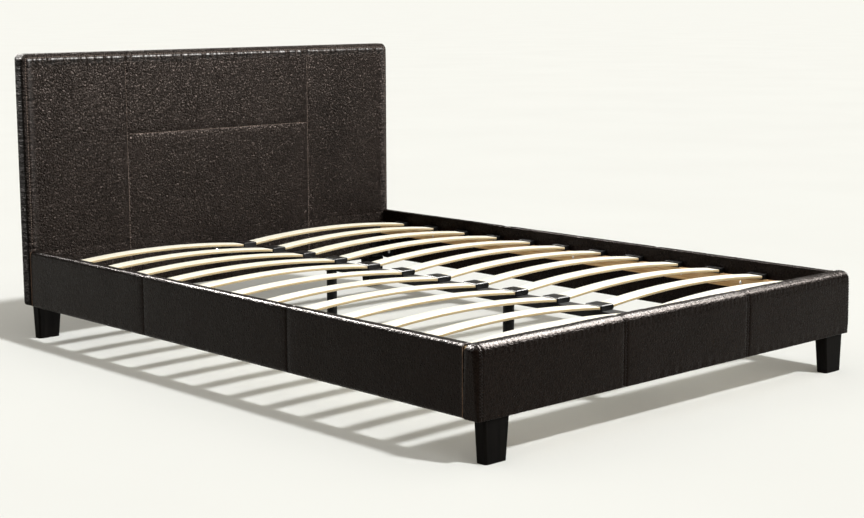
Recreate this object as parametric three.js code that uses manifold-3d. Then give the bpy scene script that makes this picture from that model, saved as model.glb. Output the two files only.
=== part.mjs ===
// A low upholstered panel bed: padded headboard, footboard and side rails, two rows of sprung slats
// carried by a centre rail and by ledges inside the side rails, four corner legs and two centre legs.
// Millimetres, +Z up. The origin is on the floor under the middle of the bed, +Y is the head end.
import * as THREE from "three";
import { mergeVertices } from "three/addons/utils/BufferGeometryUtils.js";
import Module from "manifold-3d";

const wasm = await Module();
wasm.setup();

// ---- Driving dimensions -------------------------------------------------------------------------
const bed = { width: 1560, innerLength: 2020, underside: 110 };
const headboard = { thickness: 54, top: 932, frontPad: 18, edgeWrap: 8, bottomWrap: 4, lining: 2 };
const footboard = { thickness: 56, top: 300, frontPad: 16, backPad: 8, topPad: 14, edgeWrap: 8 };
const sideRail = { thickness: 30, top: 295, outerPad: 7, innerWrap: 3, topPad: 6, bottomWrap: 3 };
const softEdge = { headboard: 13, footboard: 12, rail: 8, steps: 3 }; // rounding of the covers' edges
const slat = { thickness: 8, width: 53, rise: 21.5, perRow: 12, bends: 16 };
const slatRow = { fromHeadboard: 118, fromFootboard: 87 }; // inner face to the first slat's centre
const centreRail = { width: 50, height: 24, wall: 2, top: 243, plateWidth: 110, plateHeight: 44, plate: 3 };
const centreLeg = { radius: 17, footRadius: 21, footHeight: 8, flangeRadius: 24, flange: 4, sides: 20 };
const centreLegPlace = { fromHeadboard: 592, fromFootboard: 608 };
const ledge = { thickness: 22, height: 36, endGap: 12 };
const holder = { wall: 3.3, side: 3.7, floor: 2.2, crown: 3, mouth: 17.5, partition: 6.5, strip: 1.7 };
Object.assign(holder, { capHalfWidth: 27, capBaseStep: 3, capShoulder: 5, capEase: 1.5 });
const cornerLeg = { width: 88, depth: 40, footWidth: 73, footDepth: 36, outerTaper: 5, chamfer: 5 };
const cornerLegInset = { side: 24, foot: 5, head: 12 }; // from the bed's outer faces
const bracket = { flange: 60, plate: 3, aboveUnderside: 6, belowLedge: 3 };
const clearance = { fit: 0.3, joint: 0.3 }; // between a holder and its slat, between neighbours

// ---- Places worked out from them ----------------------------------------------------------------
const length = headboard.thickness + bed.innerLength + footboard.thickness;
const headOuter = length / 2;
const headInner = headOuter - headboard.thickness;
const footOuter = -length / 2;
const footInner = footOuter + footboard.thickness;
const middleY = (headInner + footInner) / 2;
const railOuterX = bed.width / 2;
const railInnerX = railOuterX - sideRail.thickness;
const slatUnderside = centreRail.top + holder.floor + clearance.fit; // at a slat's two tips
const slatInnerX = holder.partition + clearance.fit;
const slatOuterX = railInnerX - holder.wall - clearance.fit - clearance.joint;
const slatPitch =
  (bed.innerLength - slatRow.fromHeadboard - slatRow.fromFootboard) / (slat.perRow - 1);
const slatYs = Array.from(
  { length: slat.perRow },
  (_, i) => headInner - slatRow.fromHeadboard - i * slatPitch,
);

// ---- Finishes -----------------------------------------------------------------------------------
const finish = (name, color, roughness, metalness = 0) =>
  Object.assign(new THREE.MeshStandardMaterial({ color, roughness, metalness }), { name });
const fauxLeather = () => finish("faux leather", 0x2b2422, 0.45);
const chipboard = () => finish("chipboard", 0xb08d5e, 0.85);
const darkWood = () => finish("dark wood", 0x171311, 0.5);
const birch = () => finish("birch", 0xf0e6c8, 0.55);
const plywood = () => finish("plywood", 0xb9935f, 0.7);
const blackPlastic = () => finish("black plastic", 0x0c0c0c, 0.4);
const blackSteel = () => finish("black steel", 0x111111, 0.5, 0.6);
const liningFelt = () => finish("lining felt", 0x161616, 0.95);

// ---- Solids: three.js shapes, joined and cut with manifold-3d -----------------------------------
function solidOf(geometry) {
  const bare = geometry.index ? geometry.toNonIndexed() : geometry.clone();
  bare.deleteAttribute("normal");
  bare.deleteAttribute("uv");
  const merged = mergeVertices(bare, 1e-4);
  return new wasm.Manifold(
    new wasm.Mesh({
      numProp: 3,
      vertProperties: new Float32Array(merged.attributes.position.array),
      triVerts: new Uint32Array(merged.index.array),
    }),
  );
}

function geometryOf(solid) {
  const mesh = solid.getMesh();
  return new THREE.BufferGeometry()
    .setAttribute("position", new THREE.BufferAttribute(mesh.vertProperties, 3))
    .setIndex(new THREE.BufferAttribute(mesh.triVerts, 1));
}

// A box between two corners.
function box([x0, y0, z0], [x1, y1, z1]) {
  return new THREE.BoxGeometry(x1 - x0, y1 - y0, z1 - z0).translate(
    (x0 + x1) / 2,
    (y0 + y1) / 2,
    (z0 + z1) / 2,
  );
}

// A box whose outline across one axis has rounded corners, and whose edges at one end are bevelled.
function softBox(wide, high, deep, radius, { frontOnly }) {
  const bevel = radius * 0.6;
  const [w, h, r] = [wide / 2 - bevel, high / 2 - bevel, radius - bevel];
  const outline = new THREE.Shape()
    .moveTo(-w + r, -h)
    .lineTo(w - r, -h)
    .absarc(w - r, -h + r, r, -Math.PI / 2, 0, false)
    .absarc(w - r, h - r, r, 0, Math.PI / 2, false)
    .absarc(-w + r, h - r, r, Math.PI / 2, Math.PI, false)
    .absarc(-w + r, -h + r, r, Math.PI, 1.5 * Math.PI, false);
  const padded = solidOf(
    new THREE.ExtrudeGeometry(outline, {
      depth: frontOnly ? deep : deep - 2 * bevel,
      curveSegments: softEdge.steps,
      bevelThickness: bevel,
      bevelSize: bevel,
      bevelSegments: softEdge.steps,
    }).translate(0, 0, bevel),
  );
  const room = wide + high;
  return frontOnly ? padded.intersect(solidOf(box([-room, -room, 0], [room, room, deep]))) : padded;
}

const named = (name, geometry, material) => {
  const mesh = new THREE.Mesh(geometry, material);
  mesh.name = name;
  return mesh;
};

// ---- Headboard ----------------------------------------------------------------------------------
function headboardPieces() {
  const high = headboard.top - bed.underside;
  const midZ = (headboard.top + bed.underside) / 2;
  const pocket = {
    x: railOuterX - headboard.edgeWrap,
    y: headInner + headboard.frontPad,
    low: bed.underside + headboard.bottomWrap,
    high: headboard.top - headboard.edgeWrap,
  };
  const c = clearance.joint;
  // The cover is built lying on its rounded front, then stood up so that the front faces the foot.
  const padded = solidOf(
    geometryOf(
      softBox(bed.width, high, headboard.thickness, softEdge.headboard, { frontOnly: true }),
    )
      .rotateX(-Math.PI / 2)
      .translate(0, headInner, midZ),
  );
  const cover = padded.subtract(
    solidOf(box([-pocket.x, pocket.y, pocket.low], [pocket.x, headOuter + 1, pocket.high])),
  );
  const boardBack = headOuter - headboard.lining - c;
  return [
    named("headboard_cover", geometryOf(cover), fauxLeather()),
    named(
      "headboard_board",
      box(
        [-pocket.x + c, pocket.y + c, pocket.low + c],
        [pocket.x - c, boardBack, pocket.high - c],
      ),
      chipboard(),
    ),
    named(
      "headboard_lining",
      box(
        [-pocket.x + c, boardBack + c, pocket.low + c],
        [pocket.x - c, headOuter, pocket.high - c],
      ),
      liningFelt(),
    ),
  ];
}

// ---- Footboard ----------------------------------------------------------------------------------
function footboardPieces() {
  const high = footboard.top - bed.underside;
  const midZ = (footboard.top + bed.underside) / 2;
  const c = clearance.joint;
  const pocket = {
    x: railOuterX - footboard.edgeWrap,
    y0: footOuter + footboard.frontPad,
    y1: footInner - footboard.backPad,
    top: footboard.top - footboard.topPad,
  };
  const padded = solidOf(
    geometryOf(
      softBox(bed.width, high, footboard.thickness, softEdge.footboard, { frontOnly: false }),
    )
      .rotateX(Math.PI / 2)
      .translate(0, footInner, midZ),
  );
  const cover = padded.subtract(
    solidOf(box([-pocket.x, pocket.y0, bed.underside - 1], [pocket.x, pocket.y1, pocket.top])),
  );
  return [
    named("footboard_cover", geometryOf(cover), fauxLeather()),
    named(
      "footboard_board",
      box(
        [-pocket.x + c, pocket.y0 + c, bed.underside],
        [pocket.x - c, pocket.y1 - c, pocket.top - c],
      ),
      chipboard(),
    ),
  ];
}

// ---- Side rails: a padded sleeve over a board, with a slat ledge inside -------------------------
function sideRailPieces(side, hand) {
  const c = clearance.joint;
  const run = bed.innerLength - 2 * c;
  const high = sideRail.top - bed.underside;
  const [low, top] = [bed.underside + sideRail.bottomWrap, sideRail.top - sideRail.topPad];
  const [inner, outer] = [railInnerX + sideRail.innerWrap, railOuterX - sideRail.outerPad];
  const across = (x0, x1) => [Math.min(hand * x0, hand * x1), Math.max(hand * x0, hand * x1)];
  const [boardX0, boardX1] = across(inner, outer);
  const r = softEdge.rail;
  const [w, h] = [sideRail.thickness / 2, high / 2];
  // The section across the rail: square where it sits on the legs' side, rounded along the top.
  const section = new THREE.Shape()
    .moveTo(-w, -h)
    .lineTo(w, -h)
    .lineTo(w, h - r)
    .absarc(w - r, h - r, r, 0, Math.PI / 2, false)
    .absarc(-w + r, h - r, r, Math.PI / 2, Math.PI, false)
    .lineTo(-w, -h);
  const sleeve = solidOf(
    new THREE.ExtrudeGeometry(section, {
      depth: run,
      curveSegments: softEdge.steps,
      bevelEnabled: false,
    })
      .rotateX(Math.PI / 2)
      .translate(
        hand * (railInnerX + sideRail.thickness / 2),
        middleY + run / 2,
        bed.underside + high / 2,
      ),
  ).subtract(solidOf(box([boardX0, footOuter, low], [boardX1, headOuter, top])));
  const [ledgeX0, ledgeX1] = across(railInnerX - ledge.thickness, railInnerX - c);
  const ledgeTop = centreRail.top;
  return [
    named(`side_rail_cover_${side}`, geometryOf(sleeve), fauxLeather()),
    named(
      `side_rail_board_${side}`,
      box([boardX0 + c, middleY - run / 2, low + c], [boardX1 - c, middleY + run / 2, top - c]),
      chipboard(),
    ),
    named(
      `slat_ledge_${side}`,
      box(
        [ledgeX0, footInner + ledge.endGap, ledgeTop - ledge.height],
        [ledgeX1, headInner - ledge.endGap, ledgeTop],
      ),
      plywood(),
    ),
    named(`slat_holder_strip_${side}`, geometryOf(holderStrip(hand)), blackPlastic()),
  ];
}

// ---- Slats --------------------------------------------------------------------------------------
// The slat's side view is an arc through its two tips, risen in the middle; `grow` makes the room
// that a holder leaves around it.
function slatSolid(hand, y, grow = 0) {
  const span = slatOuterX - slatInnerX;
  const half = span / 2;
  const radius = (half ** 2 + slat.rise ** 2) / (2 * slat.rise);
  const centreX = (slatOuterX + slatInnerX) / 2;
  const centreZ = slatUnderside + slat.rise - radius;
  const sweep = Math.asin((half + grow) / radius);
  const side = (r, reversed) =>
    Array.from({ length: slat.bends + 1 }, (_, i) => {
      const angle = sweep * ((2 * (reversed ? slat.bends - i : i)) / slat.bends - 1);
      return new THREE.Vector2(centreX + r * Math.sin(angle), centreZ + r * Math.cos(angle));
    });
  const outline = [...side(radius - grow, false), ...side(radius + slat.thickness + grow, true)];
  const width = slat.width + 2 * grow;
  const geometry = new THREE.ExtrudeGeometry(
    new THREE.Shape(hand > 0 ? outline : outline.map((p) => new THREE.Vector2(-p.x, p.y))),
    { depth: width, bevelEnabled: false },
  )
    .rotateX(Math.PI / 2)
    .translate(0, y + width / 2, 0);
  return solidOf(geometry);
}

// One black double cap on the centre rail holds the inner tips of a left and a right slat. It stands
// on a narrower base, and its shoulders and its two ends are eased.
function centreCap(y) {
  const { capHalfWidth: w, capBaseStep: step, capShoulder: r, capEase: ease } = holder;
  const low = centreRail.top;
  const lip = low + holder.floor;
  const high = slatUnderside + slat.thickness + holder.wall + holder.crown;
  const deep = slat.width + 2 * (clearance.fit + holder.side);
  const outline = new THREE.Shape()
    .moveTo(-w + step, low)
    .lineTo(w - step, low)
    .lineTo(w - step, lip)
    .lineTo(w, lip)
    .lineTo(w, high - r)
    .absarc(w - r, high - r, r, 0, Math.PI / 2, false)
    .absarc(-w + r, high - r, r, Math.PI / 2, Math.PI, false)
    .lineTo(-w, lip)
    .lineTo(-w + step, lip);
  return solidOf(
    new THREE.ExtrudeGeometry(outline, {
      depth: deep - 2 * ease,
      curveSegments: 3,
      bevelThickness: ease,
      bevelSize: ease,
      bevelOffset: -ease,
      bevelSegments: 1,
    })
      .rotateX(Math.PI / 2)
      .translate(0, y + deep / 2 - ease, 0),
  )
    .subtract(slatSolid(1, y, clearance.fit))
    .subtract(slatSolid(-1, y, clearance.fit));
}

// The outer holders of one row are moulded on one thin strip along the ledge.
function holderStrip(hand) {
  const low = centreRail.top;
  const high = slatUnderside + slat.thickness + holder.wall + holder.crown;
  const outer = railInnerX - clearance.joint;
  const inner = outer - holder.wall - clearance.fit - holder.mouth;
  const [x0, x1] = [Math.min(hand * inner, hand * outer), Math.max(hand * inner, hand * outer)];
  const half = slat.width / 2 + clearance.fit + holder.side;
  const strip = solidOf(
    box(
      [x0, slatYs[slatYs.length - 1] - half, low],
      [x1, slatYs[0] + half, low + holder.strip],
    ),
  );
  return slatYs.reduce(
    (joined, y) =>
      joined
        .add(solidOf(box([x0, y - half, low], [x1, y + half, high])))
        .subtract(slatSolid(hand, y, clearance.fit)),
    strip,
  );
}

// ---- Centre rail and its two legs ---------------------------------------------------------------
// A steel tube with a plate welded round each open end; the plates screw to the two end boards.
function centreRailSolid() {
  const c = clearance.joint;
  const [y0, y1] = [footInner + c, headInner - c];
  const half = centreRail.width / 2;
  const low = centreRail.top - centreRail.height;
  const plateLow = centreRail.top - centreRail.plateHeight;
  const plateHalf = centreRail.plateWidth / 2;
  const plateAt = (a, b) =>
    solidOf(box([-plateHalf, a, plateLow], [plateHalf, b, centreRail.top]));
  const bore = box(
    [-half + centreRail.wall, y0 - 1, low + centreRail.wall],
    [half - centreRail.wall, y1 + 1, centreRail.top - centreRail.wall],
  );
  return solidOf(box([-half, y0, low], [half, y1, centreRail.top]))
    .add(plateAt(y0, y0 + centreRail.plate))
    .add(plateAt(y1 - centreRail.plate, y1))
    .subtract(solidOf(bore));
}

// A round post with a wider foot on the floor and a flange under the centre rail.
function centreLegGeometry() {
  const top = centreRail.top - centreRail.height;
  const { radius, footRadius, footHeight, flangeRadius, flange, sides } = centreLeg;
  const profile = [
    [0, 0],
    [footRadius - 2, 0],
    [footRadius, 2],
    [footRadius, footHeight],
    [radius, footHeight + 3],
    [radius, top - flange],
    [flangeRadius, top - flange],
    [flangeRadius, top],
    [0, top],
  ].map(([r, z]) => new THREE.Vector2(r, z));
  return new THREE.LatheGeometry(profile, sides).rotateX(Math.PI / 2);
}

// ---- Corner legs and brackets -------------------------------------------------------------------
// A block with chamfered corners that narrows to the floor, mostly on the side that faces the bed.
function cornerLegGeometry(handX, handY) {
  const c = cornerLeg.chamfer;
  const outerX = railOuterX - cornerLegInset.side;
  const outerY = length / 2 - (handY > 0 ? cornerLegInset.head : cornerLegInset.foot);
  const ring = (x1, y1, wide, deep, z) => {
    const [x0, y0] = [x1 - wide, y1 - deep];
    return [
      [x0 + c, y0], [x1 - c, y0], [x1, y0 + c], [x1, y1 - c],
      [x1 - c, y1], [x0 + c, y1], [x0, y1 - c], [x0, y0 + c],
    ].map(([x, y]) => [handX * x, handY * y, z]);
  };
  const foot = ring(outerX - cornerLeg.outerTaper, outerY, cornerLeg.footWidth, cornerLeg.footDepth, 0);
  const top = ring(outerX, outerY, cornerLeg.width, cornerLeg.depth, bed.underside);
  const n = foot.length;
  const faces = foot.flatMap((_, i) => {
    const j = (i + 1) % n;
    const sides = [[i, j, n + j], [i, n + j, n + i]];
    return i > 0 && j > 0 ? [...sides, [0, j, i], [n, n + i, n + j]] : sides;
  });
  const outward = handX * handY > 0 ? faces : faces.map(([a, b, d]) => [a, d, b]);
  return new THREE.BufferGeometry()
    .setAttribute("position", new THREE.Float32BufferAttribute([...foot, ...top].flat(), 3))
    .setIndex(outward.flat());
}

// A steel angle: one flange on the side rail, one on the headboard or the footboard.
function cornerBracket(handX, handY) {
  const c = clearance.joint;
  const wallX = railInnerX - c;
  const wallY = (handY > 0 ? headInner : -footInner) - c;
  const low = bed.underside + bracket.aboveUnderside;
  const high = centreRail.top - ledge.height - bracket.belowLedge;
  const at = (x0, x1, y0, y1) => {
    const xs = [handX * x0, handX * x1].sort((a, b) => a - b);
    const ys = [handY * y0, handY * y1].sort((a, b) => a - b);
    return solidOf(box([xs[0], ys[0], low], [xs[1], ys[1], high]));
  };
  return at(wallX - bracket.plate, wallX, wallY - bracket.flange, wallY).add(
    at(wallX - bracket.flange, wallX, wallY - bracket.plate, wallY),
  );
}

// ---- The bed ------------------------------------------------------------------------------------
const group = new THREE.Group();
group.add(...headboardPieces(), ...footboardPieces());
const sides = [
  ["left", -1],
  ["right", 1],
];
const ends = [
  ["foot", -1],
  ["head", 1],
];
for (const [side, handX] of sides) {
  group.add(...sideRailPieces(side, handX));
  for (const [end, handY] of ends) {
    group.add(named(`corner_leg_${end}_${side}`, cornerLegGeometry(handX, handY), darkWood()));
    group.add(
      named(
        `corner_bracket_${end}_${side}`,
        geometryOf(cornerBracket(handX, handY)),
        blackSteel(),
      ),
    );
  }
  slatYs.forEach((y, i) =>
    group.add(named(`slat_${side}_${i + 1}`, geometryOf(slatSolid(handX, y)), birch())),
  );
}
slatYs.forEach((y, i) =>
  group.add(named(`centre_cap_${i + 1}`, geometryOf(centreCap(y)), blackPlastic())),
);
group.add(named("centre_rail", geometryOf(centreRailSolid()), blackSteel()));
for (const [end, y] of [
  ["head", headInner - centreLegPlace.fromHeadboard],
  ["foot", footInner + centreLegPlace.fromFootboard],
]) {
  const leg = named(`centre_leg_${end}`, centreLegGeometry(), blackSteel());
  leg.position.y = y;
  group.add(leg);
}

export default group;
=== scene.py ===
# %% [markdown]
# # A low padded bed with sprung slats
# The bed is a chipboard and plywood frame wrapped in foam and faux leather, with bent birch slats
# between plastic holders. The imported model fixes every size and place; this notebook adds the
# surfaces that a person sees and touches. Lengths are metres, +Z is up and +Y is the head end.

# %% Load the fixed frame
import math

import bpy
import numpy as np
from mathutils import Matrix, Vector


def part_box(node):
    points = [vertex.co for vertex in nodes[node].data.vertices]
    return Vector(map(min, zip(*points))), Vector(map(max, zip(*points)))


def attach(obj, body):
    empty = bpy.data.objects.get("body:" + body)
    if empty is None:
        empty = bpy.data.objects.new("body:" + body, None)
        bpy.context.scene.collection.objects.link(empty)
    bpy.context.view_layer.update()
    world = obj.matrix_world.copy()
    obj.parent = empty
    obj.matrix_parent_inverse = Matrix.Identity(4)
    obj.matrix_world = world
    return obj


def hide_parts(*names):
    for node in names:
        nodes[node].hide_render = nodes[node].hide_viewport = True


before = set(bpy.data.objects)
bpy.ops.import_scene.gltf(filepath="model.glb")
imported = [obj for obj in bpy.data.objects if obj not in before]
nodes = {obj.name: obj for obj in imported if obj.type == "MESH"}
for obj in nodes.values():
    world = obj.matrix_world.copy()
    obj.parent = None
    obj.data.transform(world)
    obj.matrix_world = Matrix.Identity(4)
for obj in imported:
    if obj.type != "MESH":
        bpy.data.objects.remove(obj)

for spare in ("Cube", "Light", "Camera"):
    if spare in bpy.data.objects:
        bpy.data.objects.remove(bpy.data.objects[spare])
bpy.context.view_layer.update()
print("the frame has", len(nodes), "nodes")

# %% [markdown]
# ## The camera
# The bed is seen from its foot end, left of the middle, from a little above head height of a
# seated person. A long lens keeps the far end large. Yaw is measured from +Y towards +X, and pitch
# is how far the lens tips down.

# %% Place the camera
CAMERA_AT = (-3.513, -3.827, 1.122)
CAMERA_YAW, CAMERA_PITCH, CAMERA_ROLL = math.radians(43.09), math.radians(9.0), math.radians(0.14)
LENS_MM, SENSOR_MM = 70.0, 36.0


def make_camera():
    data = bpy.data.cameras.new("camera")
    data.lens, data.sensor_width = LENS_MM, SENSOR_MM
    camera = bpy.data.objects.new("camera", data)
    camera.location = CAMERA_AT
    camera.rotation_euler = (math.pi / 2 - CAMERA_PITCH, CAMERA_ROLL, -CAMERA_YAW)
    bpy.context.scene.collection.objects.link(camera)
    bpy.context.scene.camera = camera


make_camera()
print("camera looks down", round(math.degrees(CAMERA_PITCH), 1), "degrees")

# %% [markdown]
# ## Shader maths as Python
# A material is a graph of nodes. Written by hand it is long, so a small class wraps an output
# socket: an expression on two of them adds the Math nodes. Every other node comes from one method.


# %% A wire and a finish
class Wire:
    """An output socket of a finish. Arithmetic on wires and numbers adds Math nodes."""

    def __init__(self, finish, socket):
        self.finish, self.socket = finish, socket

    def __add__(self, other):
        return self.finish.math("ADD", self, other)

    def __radd__(self, other):
        return self.finish.math("ADD", other, self)

    def __sub__(self, other):
        return self.finish.math("SUBTRACT", self, other)

    def __rsub__(self, other):
        return self.finish.math("SUBTRACT", other, self)

    def __mul__(self, other):
        return self.finish.math("MULTIPLY", self, other)

    def __rmul__(self, other):
        return self.finish.math("MULTIPLY", other, self)


class Finish:
    """A material with one Principled shader; constants go straight to the shader's own sockets."""

    def __init__(self, name, **constants):
        self.material = bpy.data.materials.new(name)
        self.material.use_nodes = True
        self.tree = self.material.node_tree
        self.shader = self.tree.nodes["Principled BSDF"]
        for socket, value in constants.items():
            self.shader.inputs[socket.replace("_", " ")].default_value = value
        self.place = self.node("ShaderNodeTexCoord", output="Object")

    def node(self, kind, settings=None, inputs=None, output=0):
        """Adds a node: its settings first, then the values or wires of its input sockets."""
        made = self.tree.nodes.new(kind)
        for key, value in (settings or {}).items():
            if key == "stops":
                self.set_stops(made.color_ramp.elements, value)
            else:
                setattr(made, key, value)
        for key, value in (inputs or {}).items():
            self.feed(made.inputs[key], value)
        return Wire(self, made.outputs[output])

    def math(self, operation, *values):
        return self.node("ShaderNodeMath", {"operation": operation}, dict(enumerate(values)))

    def set_stops(self, elements, stops):
        while len(elements) < len(stops):
            elements.new(1.0)
        for element, (at, color) in zip(elements, stops):
            element.position, element.color = at, (*color, 1.0)

    def feed(self, socket, value):
        if isinstance(value, Wire):
            self.tree.links.new(value.socket, socket)
        else:
            socket.default_value = value

    def paint(self, **values):
        """Feeds the shader's sockets, such as Base_Color or Roughness."""
        for socket, value in values.items():
            self.feed(self.shader.inputs[socket.replace("_", " ")], value)
        return self.material

    def scaled(self, x, y, z):
        """The object's own coordinates, multiplied along each axis."""
        return self.node("ShaderNodeMapping", inputs={"Vector": self.place, "Scale": (x, y, z)})

    def noise(self, scale, detail=2.0, place=None, roughness=0.5):
        return self.node(
            "ShaderNodeTexNoise",
            inputs={"Vector": place or self.place, "Scale": scale, "Detail": detail,
                    "Roughness": roughness},
        )

    def cells(self, scale, feature="F1"):
        return self.node(
            "ShaderNodeTexVoronoi",
            {"feature": feature},
            {"Vector": self.place, "Scale": scale},
        )

    def ramp(self, factor, *stops):
        return self.node("ShaderNodeValToRGB", {"stops": stops}, {"Fac": factor})

    def share(self, value, low, high):
        """0 at `low` and 1 at `high`, straight in between and flat beyond."""
        return self.node(
            "ShaderNodeMapRange", inputs={"Value": value, "From Min": low, "From Max": high}
        )

    def blend(self, share, first, second):
        """The first colour where the share is 0, the second where it is 1."""
        return self.node(
            "ShaderNodeMix", {"data_type": "RGBA"}, {0: share, 6: first, 7: second}, output=2
        )

    def bump(self, height, depth, under=None):
        """Raises the surface by height times depth, on top of another bump."""
        inputs = {"Height": height, "Distance": depth, "Strength": 1.0}
        if under:
            inputs["Normal"] = under
        return self.node("ShaderNodeBump", inputs=inputs)


# %% [markdown]
# ## Faux leather
# Coated cloth: a thin, slightly glossy brown film pressed with a fine grain. Pebbles a couple of
# millimetres wide come from Voronoi cells, a finer noise breaks them up, and a slow noise varies
# the gloss, because the film is stretched more in some places. The headboard's leather is painted
# paler than the rest, a painted lighter tone for the stronger light on it, and is more creased.
# Round its outline the film is folded over the edge: dull, with painted shade darkening the rim,
# and polished where it bunches, so a mask made from the distance to the outline changes it.


# %% Leather, thread and lining finishes
FILM_GLOSS, FILM_TINT = 0.07, (1.0, 0.80, 0.70, 1.0)
WARP = 0.016
RIM_EDGE, GATHERS_EDGE = (0.013, 0.018), (0.040, 0.020)


def leather(name, color, pale, crinkle, pebble, gloss, outline=None):
    """Grain at three sizes: cells with creased borders, pebbles, and a fine noise over both.
    The cells are looked up at place + noise * WARP, so that their borders wander."""
    finish = Finish(name, Specular_IOR_Level=FILM_GLOSS, Specular_Tint=FILM_TINT)
    wander = finish.node(
        "ShaderNodeTexNoise", inputs={"Vector": finish.place, "Scale": 55.0}, output="Color"
    )
    warped = finish.node(
        "ShaderNodeVectorMath",
        {"operation": "MULTIPLY_ADD"},
        {0: wander, 1: (WARP, WARP, WARP), 2: finish.place},
    )
    borders = finish.node(
        "ShaderNodeTexVoronoi", {"feature": "DISTANCE_TO_EDGE"}, {"Vector": warped, "Scale": 115.0}
    )
    creased = finish.share(borders, 0.0, 0.16)
    pebbles = finish.cells(430.0)
    fine, patches = finish.noise(1000.0, 2.0), finish.noise(130.0, 3.0)
    drift, slow = finish.noise(38.0, 2.0), finish.noise(5.0, 3.0)
    tone = patches * 0.75 + slow * 0.15 + drift * 0.10
    shade = finish.ramp(tone, (0.42, color), (0.60, pale))
    rough = gloss + (patches - 0.5) * 0.20 + (slow - 0.5) * 0.12 + (1.0 - creased) * 0.12
    grain = finish.bump(fine * 0.4 - pebbles, pebble)
    wrinkled = finish.bump(creased + patches * 0.8, crinkle, grain)
    if outline:
        return rimmed(finish, outline, color, shade, rough, wrinkled)
    return finish.paint(Base_Color=shade, Roughness=rough, Normal=wrinkled)


def rimmed(finish, outline, color, shade, rough, wrinkled):
    """A tall board's leather: dull on the rounded rim and darkened there by painted shade, gathered
    and polished inside it.
    The outline is (half width, top); the inset is the nearer of the distances to the two."""
    half, top = outline
    x, z = (
        finish.node("ShaderNodeSeparateXYZ", inputs={"Vector": finish.place}, output=axis)
        for axis in "XZ"
    )
    from_side, from_top = half - finish.math("ABSOLUTE", x), top - z
    inside = finish.share(finish.math("MINIMUM", from_side, from_top), *RIM_EDGE)
    near_top = finish.share(from_top, *GATHERS_EDGE)
    near_side = finish.share(from_side, *GATHERS_EDGE)
    upright = finish.noise(1.0, 2.0, finish.scaled(95.0, 10.0, 9.0))
    level = finish.noise(1.0, 2.0, finish.scaled(9.0, 10.0, 95.0))
    gathered = finish.bump(near_top * upright + near_side * level, 0.012, wrinkled)
    beads = finish.share(upright, 0.40, 0.66)
    polish = (near_top * beads * 0.32 + near_side * level * 0.12) * inside
    # Painted shade: the rim's base colour is 0.6 of the leather's, a painted darkening for the
    # shade on the rounded edge.
    rim_painted_shade = (*(part * 0.6 for part in color), 1.0)
    return finish.paint(
        Base_Color=finish.blend(inside, rim_painted_shade, shade),
        Roughness=rough + (1.0 - inside) * 0.25,
        Normal=gathered,
        Coat_Weight=polish,
        Coat_Roughness=0.42,
    )


# Painted light: the headboard's colours are paler than base_leather's, the same leather painted
# lighter for the stronger light on the headboard.
head_leather_painted_lighter = leather(
    "head_leather_painted_lighter",
    color=(0.0042, 0.0029, 0.0024),
    pale=(0.0195, 0.0142, 0.0118),
    crinkle=0.0046,
    pebble=0.00018,
    gloss=0.35,
    outline=(0.78, 0.932),
)
base_leather = leather(
    "base_leather",
    color=(0.0030, 0.0017, 0.0012),
    pale=(0.0058, 0.0034, 0.0024),
    crinkle=0.00028,
    pebble=0.00006,
    gloss=0.26,
)


def thread(name, dark, pale):
    finish = Finish(name, Specular_IOR_Level=0.1)
    twist = finish.noise(2500.0, 2.0)
    shade = finish.ramp(twist, (0.3, dark), (0.7, pale))
    rough = 0.6 + twist * 0.3
    return finish.paint(Base_Color=shade, Roughness=rough, Normal=finish.bump(twist, 0.0002))


def felt():
    finish = Finish("felt", Specular_IOR_Level=0.02)
    fibres = finish.noise(700.0, 5.0, finish.scaled(1.0, 1.0, 0.4), 0.7)
    shade = finish.ramp(fibres, (0.3, (0.006, 0.006, 0.007)), (0.7, (0.030, 0.030, 0.032)))
    rough = 0.9 + fibres * 0.1
    return finish.paint(Base_Color=shade, Roughness=rough, Normal=finish.bump(fibres, 0.001))


# Painted highlight: the headboard's thread is painted pale, standing for the light caught by its
# stitches; the thread itself is dark.
head_thread_painted_highlight = thread("head_thread_painted_highlight", (0.16, 0.115, 0.095), (0.42, 0.32, 0.27))
base_thread = thread("base_thread", (0.0030, 0.0022, 0.0018), (0.012, 0.009, 0.0075))
lining_finish = felt()
print("leather, thread and felt made")

# %% [markdown]
# ## Timber, plastic and steel
# Birch is pale with a faint grain along the slat. Its side shows the glued plies as thin darker
# lines, so a fine wave runs through the thickness. The ledges are browner plywood, the legs are
# stained nearly black, and the boards inside are chipboard.


# %% Timber finishes
PLY_WAVES = 31.4
EDGE_PLIES = 0.44


def birch():
    """The ply attribute runs from 0 to 1 through the thickness; near its middle a side shows."""
    finish = Finish("birch", Specular_IOR_Level=0.12)
    grain = finish.noise(1.0, 4.0, finish.scaled(9.0, 260.0, 260.0))
    cloud = finish.noise(1.0, 2.0, finish.scaled(3.0, 14.0, 14.0))
    tone = grain * 0.6 + cloud * 0.4
    face = finish.ramp(
        tone, (0.30, (0.85, 0.78, 0.60)), (0.48, (0.93, 0.90, 0.77)), (0.70, (0.97, 0.95, 0.86))
    )
    ply = finish.node("ShaderNodeAttribute", {"attribute_name": "ply"}, output="Fac")
    layers = finish.math("SINE", ply * PLY_WAVES)
    edge = finish.ramp(
        layers * 0.35 + grain * 0.6, (0.1, (0.42, 0.29, 0.13)), (0.7, (0.80, 0.68, 0.43))
    )
    on_edge = finish.math("LESS_THAN", finish.math("ABSOLUTE", ply - 0.5), EDGE_PLIES)
    return finish.paint(
        Base_Color=finish.blend(on_edge, face, edge),
        Roughness=0.38 + grain * 0.2,
        Normal=finish.bump(grain, 0.0003),
    )


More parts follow.
